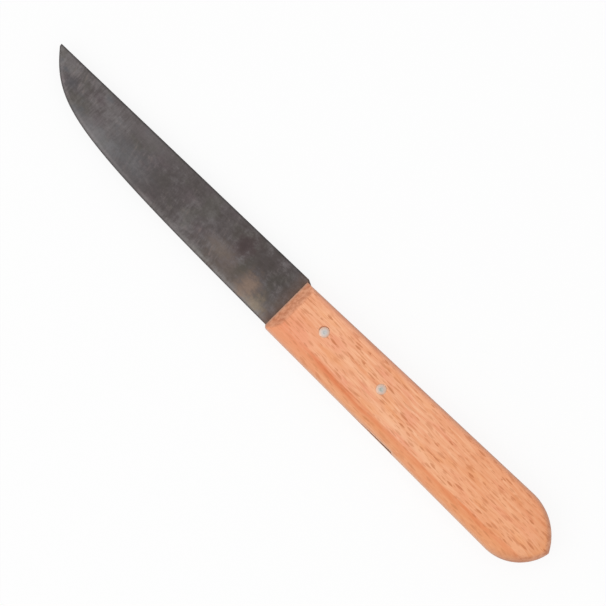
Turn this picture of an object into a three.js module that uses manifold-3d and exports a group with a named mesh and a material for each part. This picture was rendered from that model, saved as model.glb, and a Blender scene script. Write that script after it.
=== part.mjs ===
// A paring knife: a carbon-steel blade whose half tang is pinned in the sawn slot of a beech handle.
//
// Millimetres. The knife lies on its side: +X runs along it to the tip of the blade, +Y points the way
// the cutting edge faces, and +Z is up. While the pieces are drawn, x is 0 at the front of the wood and
// y is 0 on the handle's belly line. A height is a distance from the belly line towards the spine, so y
// is minus the height.

import * as THREE from 'three';
import { mergeVertices } from 'three/addons/utils/BufferGeometryUtils.js';
import Module from 'manifold-3d';

// Blade outline
const BLADE_LENGTH = 100; // front of the wood to the tip
const HEEL_HEIGHT = 18.3; // cutting edge to spine where the blade leaves the wood
const EDGE_RISE = 0.9; // how far the straight edge lies above the belly line
const SPINE_DROP = 2.4; // how much lower the spine is at the tip than at the heel
const EDGE_STRAIGHT = 2; // straight cutting edge in front of the wood
const EDGE_SWEEP = 77.3; // how far the curved edge leans on its straight start
const TIP_SWEEP = 17.6; // how far the curved edge leans on its direction at the tip
const TIP_ANGLE = THREE.MathUtils.degToRad(50.6); // edge to the knife's axis, at the tip
const TIP_BLUNT = 0.75; // flat left at the very tip

// Blade section
const BLADE_THICKNESS = 1.6; // spine at the heel, and the whole tang
const TIP_THICKNESS = 0.8; // spine at the tip
const BEVEL_HEIGHT = 1.2; // narrow bevel along the cutting edge
const BEVEL_THICKNESS = 0.45; // steel left where that bevel starts
const EDGE_THICKNESS = 0.12; // cutting edge
const PLUNGE_LENGTH = 4; // run-out of the ground sides, hidden in the wood
const SHOULDER_LEAD = 0.3; // the spine starts to slope down this far in front of the wood
const SHOULDER_REACH = 2.4; // and meets the tang's upper edge this far behind the wood's front

// Tang
const TANG_LENGTH = 52.6; // front of the wood to the tang's end
const TANG_SINK = 0.4; // how far its upper edge lies below the top of the handle
const TANG_PROUD = 0.15; // how far its lower rear corner stands out of the belly

// Handle outline
const HANDLE_LENGTH = 105.5;
const HANDLE_THICKNESS = 13;
const HANDLE_FRONT_HEIGHT = 18.3;
const HANDLE_FLARE = THREE.MathUtils.degToRad(1.95); // top line against the belly line
const BUTT_POINT_HEIGHT = 12.05; // height of the point at the rear
const BUTT_LOWER_RADIUS = 14.4; // arc from the belly to the point
const BUTT_UPPER_RADIUS = 17; // arc from the point to the top line

// Handle edges: a width is seen from the side, a depth is measured into the thickness
const FRONT_CHAMFER = 3.2;
const BELLY_ROUND_WIDTH = 4.3;
const BELLY_ROUND_DEPTH = 5;
const BELLY_CREASE_SLOPE = 0.3; // steepness at the soft crease where the side meets the rounded belly
const SPINE_ROUND_WIDTH = 1.8;
const SPINE_ROUND_DEPTH = 3;
const BUTT_ROUND_WIDTH = 2;
const BUTT_ROUND_DEPTH = 3;

// Slot and pins
const SLOT_CLEARANCE = 0.15; // between the tang and each side of the slot
const SLOT_END_GAP = 0.5; // behind the tang
const PIN_DIAMETER = 3;
const PIN_SPREAD = 0.05; // how much peening widens the radius of each end
const PIN_HEAD_DEPTH = 0.8;
const PIN_CROWN = 0.12; // doming of each end, which stands a hair proud of the wood
const PIN_SUNK = 0.05; // rim of each end below the side of the handle
const PIN_CLEARANCE = 0.2;
const FRONT_PIN_SETBACK = 13.7; // behind the front of the wood
const REAR_PIN_MARGIN = 15.5; // in front of the tang's end
const PIN_HEIGHT = 11.4;
const OVERCUT = 2; // how far a cut runs past the surface that it opens

// Facet counts
const CURVE_STEPS = 20;
const TANG_STEPS = 8;
const ARC_STEPS = 12;
const ROUND_STEPS = 6;
const CROWN_STEPS = 3;
const PIN_SIDES = 32;

const wasm = await Module();
wasm.setup();

const { lerp, smoothstep } = THREE.MathUtils;
const middle = HANDLE_THICKNESS / 2;
const slotWidth = BLADE_THICKNESS + 2 * SLOT_CLEARANCE;
const cutHeight = handleTop(-HANDLE_LENGTH) + 2 * OVERCUT; // through the handle from belly to top
const pinHead = PIN_DIAMETER / 2 + PIN_SPREAD;
const pinRim = middle - PIN_SUNK; // level of a pin's rim, from the middle plane
const pinPlaces = {
  front_pin: new THREE.Vector3(-FRONT_PIN_SETBACK, -PIN_HEIGHT, middle),
  rear_pin: new THREE.Vector3(REAR_PIN_MARGIN - TANG_LENGTH, -PIN_HEIGHT, middle),
};

// Closed solids

// Skins a row of rings that have equal numbers of points and run anticlockwise seen from the last ring.
function loft(rings) {
  const count = rings[0].length;
  const last = (rings.length - 1) * count;
  const index = [];
  for (let start = 0; start < last; start += count) {
    for (let i = 0; i < count; i++) {
      const a = start + i;
      const b = start + ((i + 1) % count);
      index.push(a, b, b + count, a, b + count, a + count);
    }
  }
  for (let i = 1; i < count - 1; i++) {
    index.push(0, i + 1, i);
    index.push(last, last + i, last + i + 1);
  }
  return new THREE.BufferGeometry().setFromPoints(rings.flat()).setIndex(index);
}

function toSolid(geometry) {
  const bare = geometry.clone();
  bare.deleteAttribute('normal');
  bare.deleteAttribute('uv');
  const merged = mergeVertices(bare);
  return new wasm.Manifold(new wasm.Mesh({
    numProp: 3,
    vertProperties: Float32Array.from(merged.attributes.position.array),
    triVerts: Uint32Array.from(merged.index.array),
  }));
}

function toGeometry(solid) {
  const { vertProperties, triVerts } = solid.getMesh();
  const geometry = new THREE.BufferGeometry();
  geometry.setAttribute('position', new THREE.BufferAttribute(vertProperties, 3));
  geometry.setIndex(new THREE.BufferAttribute(triVerts, 1));
  geometry.computeVertexNormals();
  return geometry;
}

// Blade and tang

function handleTop(x) {
  return HANDLE_FRONT_HEIGHT - x * Math.tan(HANDLE_FLARE);
}

function spineHeight(x) {
  return EDGE_RISE + HEEL_HEIGHT - SPINE_DROP * (x / BLADE_LENGTH);
}

// Upper outline: the tang's edge below the top of the wood, a sloping shoulder, then the straight spine.
function upperHeight(x) {
  const tangTop = handleTop(x) - TANG_SINK;
  const along = (x + SHOULDER_REACH) / (SHOULDER_LEAD + SHOULDER_REACH);
  return lerp(tangTop, spineHeight(x), THREE.MathUtils.clamp(along, 0, 1));
}

// Lower outline behind the curved edge: the straight edge, then the tang's edge, which curves down until it
// runs along the belly and stands a little proud of it.
function lowerHeight(x) {
  const toFront = 1 + Math.min(x, 0) / TANG_LENGTH;
  return lerp(-TANG_PROUD, EDGE_RISE, toFront * toFront);
}

function bladeRing(x, lower) {
  const upper = upperHeight(x);
  const spine = lerp(BLADE_THICKNESS, TIP_THICKNESS, Math.max(x, 0) / BLADE_LENGTH) / 2;
  const ground = THREE.MathUtils.clamp(1 + x / PLUNGE_LENGTH, 0, 1);
  const bevel = lerp(spine, BEVEL_THICKNESS / 2, ground);
  const edge = lerp(spine, EDGE_THICKNESS / 2, ground);
  const bevelTop = lower + Math.min(BEVEL_HEIGHT, (upper - lower) / 2);
  const outward = [[lower, edge], [bevelTop, bevel], [upper, spine]];
  const returning = outward.map(([height, side]) => [height, -side]).reverse();
  return [...outward, ...returning].map(([height, side]) => new THREE.Vector3(x, -height, middle + side));
}

function bladeGeometry() {
  const tip = new THREE.Vector2(BLADE_LENGTH, spineHeight(BLADE_LENGTH) - TIP_BLUNT);
  const start = new THREE.Vector2(EDGE_STRAIGHT, EDGE_RISE);
  const curvedEdge = new THREE.CubicBezierCurve(
    start,
    new THREE.Vector2(start.x + EDGE_SWEEP, start.y),
    new THREE.Vector2(tip.x - TIP_SWEEP * Math.cos(TIP_ANGLE), tip.y - TIP_SWEEP * Math.sin(TIP_ANGLE)),
    tip,
  );
  const stations = [];
  for (let i = 0; i <= TANG_STEPS; i++) {
    stations.push(lerp(-TANG_LENGTH, -PLUNGE_LENGTH, i / TANG_STEPS));
  }
  stations.push(-SHOULDER_REACH, SHOULDER_LEAD);
  const rings = stations.map((x) => bladeRing(x, lowerHeight(x)));
  for (const { x, y } of curvedEdge.getPoints(CURVE_STEPS)) rings.push(bladeRing(x, y));
  return loft(rings);
}

// Handle

function roundInset(width, depth, below) {
  if (below >= depth) return 0;
  const rest = 1 - below / depth;
  return width * (1 - Math.sqrt(1 - rest * rest));
}

// The belly leaves the side at a soft crease and curves down until it is square to it.
function bellyInset(depth, below) {
  if (below >= depth) return 0;
  const crease = BELLY_ROUND_WIDTH * BELLY_CREASE_SLOPE;
  const along = below / (crease + Math.sqrt(crease * crease + (depth - 2 * crease) * below));
  return BELLY_ROUND_WIDTH * (1 - along) ** 2;
}

// Of the two points where two circles cross, the one nearer the rear of the handle.
function circlesMeet(centreA, radiusA, centreB, radiusB) {
  const between = centreB.clone().sub(centreA);
  const distance = between.length();
  const along = (radiusA ** 2 - radiusB ** 2 + distance ** 2) / (2 * distance);
  const aside = Math.sqrt(radiusA ** 2 - along ** 2);
  between.normalize();
  const square = new THREE.Vector2(-between.y, between.x);
  if (square.x > 0) square.negate();
  return centreA.clone().addScaledVector(between, along).addScaledVector(square, aside);
}

function onCircle(centre, radius, angle) {
  return new THREE.Vector2(centre.x + radius * Math.cos(angle), centre.y + radius * Math.sin(angle));
}

// Centres of the two arcs that meet in the point at the rear: the lower one runs out of the belly line,
// the upper one into the top line.
function buttCentres() {
  const point = new THREE.Vector2(-HANDLE_LENGTH, -BUTT_POINT_HEIGHT);
  const lowerSpan = Math.sqrt(BUTT_LOWER_RADIUS ** 2 - (BUTT_LOWER_RADIUS - BUTT_POINT_HEIGHT) ** 2);
  const lower = new THREE.Vector2(point.x + lowerSpan, -BUTT_LOWER_RADIUS);
  const rearward = new THREE.Vector2(-Math.cos(HANDLE_FLARE), -Math.sin(HANDLE_FLARE));
  const outward = new THREE.Vector2(Math.sin(HANDLE_FLARE), -Math.cos(HANDLE_FLARE));
  const topFront = new THREE.Vector2(0, -HANDLE_FRONT_HEIGHT);
  const rise = topFront.sub(point).dot(outward);
  const upperSpan = Math.sqrt(BUTT_UPPER_RADIUS ** 2 - (BUTT_UPPER_RADIUS - rise) ** 2);
  const upper = point.clone();
  upper.addScaledVector(outward, rise - BUTT_UPPER_RADIUS).addScaledVector(rearward, -upperSpan);
  return { lower, upper };
}

// The handle's outline at a level so far below its side, drawn in by the rounding of each edge.
function handleRing(roundDepth, below, z) {
  const belly = bellyInset(roundDepth, below);
  const spine = roundInset(SPINE_ROUND_WIDTH, SPINE_ROUND_DEPTH, below);
  const butt = roundInset(BUTT_ROUND_WIDTH, BUTT_ROUND_DEPTH, below);
  const { lower, upper } = buttCentres();
  const point = circlesMeet(lower, BUTT_LOWER_RADIUS - butt, upper, BUTT_UPPER_RADIUS - butt);
  const lowerEnd = Math.atan2(point.y - lower.y, point.x - lower.x);
  const upperStart = Math.atan2(point.y - upper.y, point.x - upper.x) + 2 * Math.PI;
  const topNormal = 1.5 * Math.PI + HANDLE_FLARE;

  const outline = [new THREE.Vector2(0, -belly)];
  for (let i = 0; i <= ARC_STEPS; i++) {
    const share = i / ARC_STEPS;
    const inset = lerp(belly, butt, smoothstep(share, 0, 1));
    outline.push(onCircle(lower, BUTT_LOWER_RADIUS - inset, lerp(Math.PI / 2, lowerEnd, share)));
  }
  for (let i = 1; i <= ARC_STEPS; i++) {
    const share = i / ARC_STEPS;
    const inset = lerp(butt, spine, smoothstep(share, 0, 1));
    outline.push(onCircle(upper, BUTT_UPPER_RADIUS - inset, lerp(upperStart, topNormal, share)));
  }
  outline.push(new THREE.Vector2(0, spine / Math.cos(HANDLE_FLARE) - HANDLE_FRONT_HEIGHT));
  return outline.map(({ x, y }) => new THREE.Vector3(x, y, z));
}

function roundedBlank() {
  const roundDepth = Math.min(BELLY_ROUND_DEPTH, (HANDLE_THICKNESS - slotWidth) / 2);
  const lowerHalf = [];
  const upperHalf = [];
  for (let i = 0; i <= ROUND_STEPS; i++) {
    const below = roundDepth * (i / ROUND_STEPS) ** 2;
    lowerHalf.push(handleRing(roundDepth, below, below));
    upperHalf.unshift(handleRing(roundDepth, below, HANDLE_THICKNESS - below));
  }
  return loft([...lowerHalf, ...upperHalf]);
}

// A block with a right-angled point at its front, whose two slopes cut the handle's front edges at 45
// degrees.
function chamferBlock() {
  const rear = -HANDLE_LENGTH - OVERCUT;
  const slopeEnd = -FRONT_CHAMFER - OVERCUT;
  const side = new THREE.Shape([
    new THREE.Vector2(middle - FRONT_CHAMFER, middle),
    new THREE.Vector2(slopeEnd, HANDLE_THICKNESS + OVERCUT),
    new THREE.Vector2(rear, HANDLE_THICKNESS + OVERCUT),
    new THREE.Vector2(rear, -OVERCUT),
    new THREE.Vector2(slopeEnd, -OVERCUT),
  ]);
  const block = new THREE.ExtrudeGeometry(side, { depth: cutHeight, bevelEnabled: false });
  return block.rotateX(Math.PI / 2).translate(0, OVERCUT, 0);
}

function slotGeometry() {
  const length = TANG_LENGTH + SLOT_END_GAP + OVERCUT;
  const slot = new THREE.BoxGeometry(length, cutHeight, slotWidth);
  return slot.translate(OVERCUT - length / 2, OVERCUT - cutHeight / 2, middle);
}

// Pins and their holes

// A turned body, alike on both sides of the middle plane, from its [radius, distance from that plane].
function turned(profile) {
  const upper = profile.map(([radius, rise]) => new THREE.Vector2(radius, rise));
  const lower = profile.map(([radius, rise]) => new THREE.Vector2(radius, -rise)).reverse();
  return new THREE.LatheGeometry([...lower, ...upper], PIN_SIDES).rotateX(Math.PI / 2);
}

// Shank and spread end of a pin, or of the hole that clears them.
function pinFlare(clearance) {
  return [
    [PIN_DIAMETER / 2 + clearance, pinRim - PIN_HEAD_DEPTH],
    [pinHead + clearance, pinRim],
  ];
}

function pinGeometry() {
  const profile = pinFlare(0);
  for (let i = CROWN_STEPS - 1; i >= 0; i--) {
    const out = i / CROWN_STEPS;
    profile.push([pinHead * out, pinRim + PIN_CROWN * (1 - out * out)]);
  }
  return turned(profile);
}

function pinHoleGeometry() {
  const outside = middle + OVERCUT;
  return turned([...pinFlare(PIN_CLEARANCE), [pinHead + PIN_CLEARANCE, outside], [0, outside]]);
}

// Assembly

const steel = new THREE.MeshStandardMaterial({ color: 0x5c5655, roughness: 0.45, metalness: 0.9 });
const beech = new THREE.MeshStandardMaterial({ color: 0xeca77f, roughness: 0.55, metalness: 0 });
const aluminium = new THREE.MeshStandardMaterial({ color: 0xd6d7d6, roughness: 0.35, metalness: 0.9 });

function namedMesh(name, geometry, material) {
  const mesh = new THREE.Mesh(geometry, material);
  mesh.name = name;
  return mesh;
}

let bladeSolid = toSolid(bladeGeometry());
let handleSolid = toSolid(roundedBlank()).intersect(toSolid(chamferBlock()));
handleSolid = handleSolid.subtract(toSolid(slotGeometry()));
for (const place of Object.values(pinPlaces)) {
  const hole = toSolid(pinHoleGeometry().translate(place.x, place.y, place.z));
  bladeSolid = bladeSolid.subtract(hole);
  handleSolid = handleSolid.subtract(hole);
}

const knife = new THREE.Group();
knife.add(namedMesh('blade', toGeometry(bladeSolid), steel));
knife.add(namedMesh('handle', toGeometry(handleSolid), beech));
for (const [name, place] of Object.entries(pinPlaces)) {
  const pin = namedMesh(name, pinGeometry(), aluminium);
  pin.position.copy(place);
  knife.add(pin);
}

// The knife's own origin is under the middle of its outline, on the surface that it lies on.
const box = new THREE.Box3().setFromObject(knife);
const centre = box.getCenter(new THREE.Vector3());
knife.position.set(-centre.x, -centre.y, -box.min.z);

export default knife;
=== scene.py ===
"""The looks of a paring knife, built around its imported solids.

A dark carbon-steel blade is held by its half tang in the sawn slot of a beech handle, with two pins through
both. The knife lies on its side: +X runs along it to the tip, +Y points the way the cutting edge faces and
+Z is up. Shapes are in metres, with MM for millimetres, and patterns in the finishes are in millimetres.
"""

import logging
import math
from dataclasses import dataclass
from enum import Enum
from typing import Callable, Optional, Union

import bmesh
import bpy
import numpy as np
from mathutils import Matrix, Vector


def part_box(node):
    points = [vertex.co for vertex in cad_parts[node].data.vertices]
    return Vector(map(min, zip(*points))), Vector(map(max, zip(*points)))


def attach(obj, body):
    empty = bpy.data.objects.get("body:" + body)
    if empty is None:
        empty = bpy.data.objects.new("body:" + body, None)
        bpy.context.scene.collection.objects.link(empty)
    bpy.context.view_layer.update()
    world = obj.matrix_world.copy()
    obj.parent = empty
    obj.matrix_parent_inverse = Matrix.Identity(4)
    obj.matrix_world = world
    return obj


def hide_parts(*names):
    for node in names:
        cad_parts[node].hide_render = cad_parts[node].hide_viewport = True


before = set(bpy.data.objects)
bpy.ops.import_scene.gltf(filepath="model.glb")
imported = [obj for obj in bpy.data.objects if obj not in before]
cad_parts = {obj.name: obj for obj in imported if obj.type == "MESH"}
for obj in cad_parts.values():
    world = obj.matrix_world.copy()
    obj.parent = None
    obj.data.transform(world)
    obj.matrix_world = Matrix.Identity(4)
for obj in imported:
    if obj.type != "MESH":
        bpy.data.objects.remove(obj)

MM = 0.001
HAIR = 0.01 * MM  # keeps a shape inside the box of its solid
WELD = 0.001 * MM  # points nearer than this become one
HOLE_SIDES = 96

Colour = tuple[float, float, float, float]
Lengths = tuple[float, float, float]
Plain = Union[float, int, bool, str, tuple, Vector]
Value = Union["Field", Plain]
Inputs = dict[Union[int, str], Value]

WHITE: Colour = (1.0, 1.0, 1.0, 1.0)
SOCKET_KINDS = {float: "NodeSocketFloat", int: "NodeSocketInt", Vector: "NodeSocketVector"}


class Node(Enum):
    """The solids of the frame that the pieces stand for."""

    BLADE = "blade"
    HANDLE = "handle"
    FRONT_PIN = "front_pin"
    REAR_PIN = "rear_pin"


PIN_NODES = (Node.FRONT_PIN, Node.REAR_PIN)


class Slot(Enum):
    """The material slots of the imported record."""

    STEEL = "blade_steel"
    BEECH = "handle_beech"
    PIN = "pin_metal"


class Mark(Enum):
    """Attributes that a mesh carries for its finish."""

    FROM_EDGE = "from_edge"
    FROM_SPINE = "from_spine"
    FROM_AXIS = "from_axis"
    END_GRAIN = "end_grain"
    FLAT_SIDE = "flat_side"


def srgb(red: int, green: int, blue: int) -> Colour:
    """Turns a colour as a screen shows it into the linear one that a node takes.

    Args:
        red: Share of red, 0 to 255.
        green: Share of green, 0 to 255.
        blue: Share of blue, 0 to 255.

    Returns:
        The linear colour, opaque.
    """
    shares = [channel / 255 for channel in (red, green, blue)]
    linear = [s / 12.92 if s <= 0.04045 else ((s + 0.055) / 1.055) ** 2.4 for s in shares]
    return (linear[0], linear[1], linear[2], 1.0)


@dataclass(frozen=True)
class Fade:
    """How something comes in, and may go again, as a value changes.

    Attributes:
        start: The value at which none of it shows.
        end: The value at which all of it shows.
        strength: How much all of it is.
        until: The values at which it begins to go and has gone.
        soft: Whether it eases in and out.
    """

    start: float
    end: float
    strength: float = 1.0
    until: Optional[tuple[float, float]] = None
    soft: bool = True


AS_IT_IS = Fade(0.0, 1.0, soft=False)


@dataclass(frozen=True)
class Layer:
    """A colour laid over those below it.

    Attributes:
        colour: The colour.
        follows: The values that it comes in with, by name, and how. Their shares are multiplied.
    """

    colour: Colour
    follows: dict[str, Fade]


@dataclass(frozen=True)
class Pattern:
    """A soft random pattern, about 0 to 1.

    Attributes:
        lengths: How long one unit of it is along x, y and z, in millimetres.
        detail: How many finer layers it has.
        roughness: How strong the finer layers are.
        turn: Its turn about the vertical, in degrees.
    """

    lengths: Lengths
    detail: float = 2.0
    roughness: float = 0.5
    turn: float = 0.0


@dataclass(frozen=True)
class Surface:
    """What is the same all over a finish.

    Attributes:
        relief: How strongly its bumps show.
        depth: Height of its bumps, in metres.
        metallic: Share of metal in it.
    """

    relief: float
    depth: float
    metallic: float = 0.0


def operation(name: str, swapped: bool = False) -> Callable[["Field", Value], "Field"]:
    """Makes the operator that Blender has by that name, with the field as its second term if swapped."""

    def operator(field: "Field", other: Value) -> "Field":
        """Adds the operation on a field and another value."""
        return field.graph.math(name, *((other, field) if swapped else (field, other)))

    return operator


class Field:
    """An output of a node, which takes part in sums and products as a number does."""

    __add__ = operation("ADD")
    __radd__ = operation("ADD", swapped=True)
    __sub__ = operation("SUBTRACT")
    __rsub__ = operation("SUBTRACT", swapped=True)
    __mul__ = operation("MULTIPLY")
    __rmul__ = operation("MULTIPLY", swapped=True)
    __truediv__ = operation("DIVIDE")

    def __init__(self, graph: "Graph", socket: bpy.types.NodeSocket) -> None:
        """Keeps the socket and the graph that it belongs to."""
        self.graph = graph
        self.socket = socket

    def __abs__(self) -> "Field":
        """Size without its sign."""
        return self.graph.math("ABSOLUTE", self)

    @property
    def swing(self) -> "Field":
        """How far a pattern is above or below its middle."""
        return self - 0.5

    def fade(self, how: Fade) -> "Field":
        """Gives how much of something shows at the value.

        Args:
            how: How it comes in.

        Returns:
            Its share, from 0 to its strength.
        """
        share = self.graph.rise(self, how.start, how.end, how.soft)
        if how.until:
            share = share * self.graph.rise(self, how.until[1], how.until[0], how.soft)
        return share * how.strength


class Graph:
    """Writes the nodes of one tree, of a finish, a shape or the world."""

    def __init__(self, tree: bpy.types.NodeTree) -> None:
        """Starts on a tree."""
        self.tree = tree

    def put(self, socket: bpy.types.NodeSocket, value: Value) -> None:
        """Feeds a socket.

        Args:
            socket: The socket.
            value: A field to join to it, or a plain value to set on it.
        """
        if isinstance(value, Field):
            self.tree.links.new(value.socket, socket)
        else:
            socket.default_value = value

    def node(self, kind: str, values: Optional[Inputs] = None, **settings: object) -> bpy.types.Node:
        """Adds a node and feeds it.

        Args:
            kind: Blender's name for the kind of node.
            values: What its sockets get, by name or number.
            settings: Options of the node, by name.

        Returns:
            The new node.
        """
        made = self.tree.nodes.new(kind)
        for name, value in settings.items():
            setattr(made, name, value)
        for key, value in (values or {}).items():
            self.put(made.inputs[key], value)
        return made

    def out(self, made: bpy.types.Node, output: Union[int, str] = 0) -> Field:
        """Gives one output of a node as a field."""
        return Field(self, made.outputs[output])

    def field(
        self, kind: str, values: Optional[Inputs] = None, output: Union[int, str] = 0, **settings: object
    ) -> Field:
        """Adds a node, feeds it as node does and gives the output of that name or number."""
        return self.out(self.node(kind, values, **settings), output)

    def math(self, operation_name: str, *terms: Value) -> Field:
        """Adds a sum, product or other operation, by Blender's name for it, on numbers."""
        return self.field("ShaderNodeMath", dict(enumerate(terms)), operation=operation_name)

    def rise(self, value: Value, start: Value, end: Value, soft: bool = True) -> Field:
        """Goes from 0 to 1, softly or not, while a value goes from start to end, and stays there."""
        easing = "SMOOTHSTEP" if soft else "LINEAR"
        return self.field("ShaderNodeMapRange", {0: value, 1: start, 2: end}, interpolation_type=easing)

    def between(self, share: Value, first: Value, second: Value) -> Field:
        """Goes from one number to another as share goes from 0 to 1."""
        return self.field("ShaderNodeMix", {0: share, 2: first, 3: second}, data_type="FLOAT")

    def tint(self, share: Value, first: Value, second: Value, mode: str = "MIX") -> Field:
        """Mixes a share of a second colour into a first one, in a mode by Blender's name for it."""
        values = {0: share, 6: first, 7: second}
        return self.field("ShaderNodeMix", values, 2, data_type="RGBA", blend_type=mode)

    def split(self, vector: Field) -> tuple[Field, Field, Field]:
        """Gives the three parts of a vector."""
        made = self.node("ShaderNodeSeparateXYZ", {0: vector})
        return self.out(made, 0), self.out(made, 1), self.out(made, 2)

    def join(self, x: Value, y: Value, z: Value) -> Field:
        """Makes a vector of three numbers."""
        return self.field("ShaderNodeCombineXYZ", {0: x, 1: y, 2: z})

    def seen_directly(self) -> Field:
        """Tells what the camera sees, straight or in a mirror or glass, from what only lights the object.

        Returns:
            1 for a ray of the camera, a reflection or a transmission, or else 0.
        """
        path = self.node("ShaderNodeLightPath")
        seen = self.math("MAXIMUM", self.out(path, "Is Camera Ray"), self.out(path, "Is Glossy Ray"))
        return self.math("MAXIMUM", seen, self.out(path, "Is Transmission Ray"))


class FinishGraph(Graph):
    """Writes the nodes of a finish, with its patterns over millimetres."""

    def __init__(self, name: str) -> None:
        """Starts a material.

        Args:
            name: Name of the material.
        """
        self.material = bpy.data.materials.new(name)
        self.material.use_nodes = True
        super().__init__(self.material.node_tree)

    def millimetres(self) -> Field:
        """Gives a place on the piece, in millimetres."""
        place = self.field("ShaderNodeTexCoord", output="Object")
        return self.field("ShaderNodeMapping", {"Vector": place, "Scale": (1 / MM,) * 3})

    def mark(self, name: Mark) -> Field:
        """Reads an attribute of the mesh."""
        return self.field("ShaderNodeAttribute", output="Fac", attribute_name=name.value)

    def stretched(self, place: Field, lengths: Lengths, turn: float = 0.0) -> Field:
        """Stretches a pattern over lengths in millimetres.

        Args:
            place: Where the pattern is read.
            lengths: How long one unit of the pattern is along each axis.
            turn: Turn about the vertical, in degrees.

        Returns:
            The place to read the pattern at.
        """
        turned = self.field("ShaderNodeMapping", {"Vector": place, "Rotation": (0, 0, math.radians(turn))})
        scale = tuple(1 / length for length in lengths)
        return self.field("ShaderNodeMapping", {"Vector": turned, "Scale": scale})

    def noise(self, place: Field, pattern: Pattern) -> Field:
        """Reads a random pattern at a place."""
        return self.field("ShaderNodeTexNoise", {
            "Vector": self.stretched(place, pattern.lengths, pattern.turn),
            "Scale": 1.0,
            "Detail": pattern.detail,
            "Roughness": pattern.roughness,
        }, "Fac")

    def away(self, first: Field, second: Field) -> Field:
        """How far off a place is, by its distances along two axes."""
        return self.math("SQRT", first * first + second * second)

    def layered(self, colour: Value, layers: tuple[Layer, ...], values: dict[str, Field]) -> Value:
        """Lays colours over a first one.

        Args:
            colour: The colour below them all.
            layers: The layers, from below to above.
            values: What the layers follow, by name.

        Returns:
            The colour that shows.
        """
        for layer in layers:
            share = math.prod(values[name].fade(how) for name, how in layer.follows.items())
            colour = self.tint(share, colour, layer.colour)
        return colour

    def end(self, colour: Field, rough: Field, lift: Field, surface: Surface) -> bpy.types.Material:
        """Ends the finish.

        Args:
            colour: Its colour.
            rough: Its roughness.
            lift: Where its bumps are high.
            surface: What is the same all over it.

        Returns:
            The material.
        """
        bump = {"Height": lift, "Strength": surface.relief, "Distance": surface.depth}
        shader = self.tree.nodes["Principled BSDF"]
        self.put(shader.inputs["Base Color"], colour)
        self.put(shader.inputs["Metallic"], surface.metallic)
        self.put(shader.inputs["Roughness"], rough)
        self.put(shader.inputs["Normal"], self.field("ShaderNodeBump", bump))
        return self.material


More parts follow.
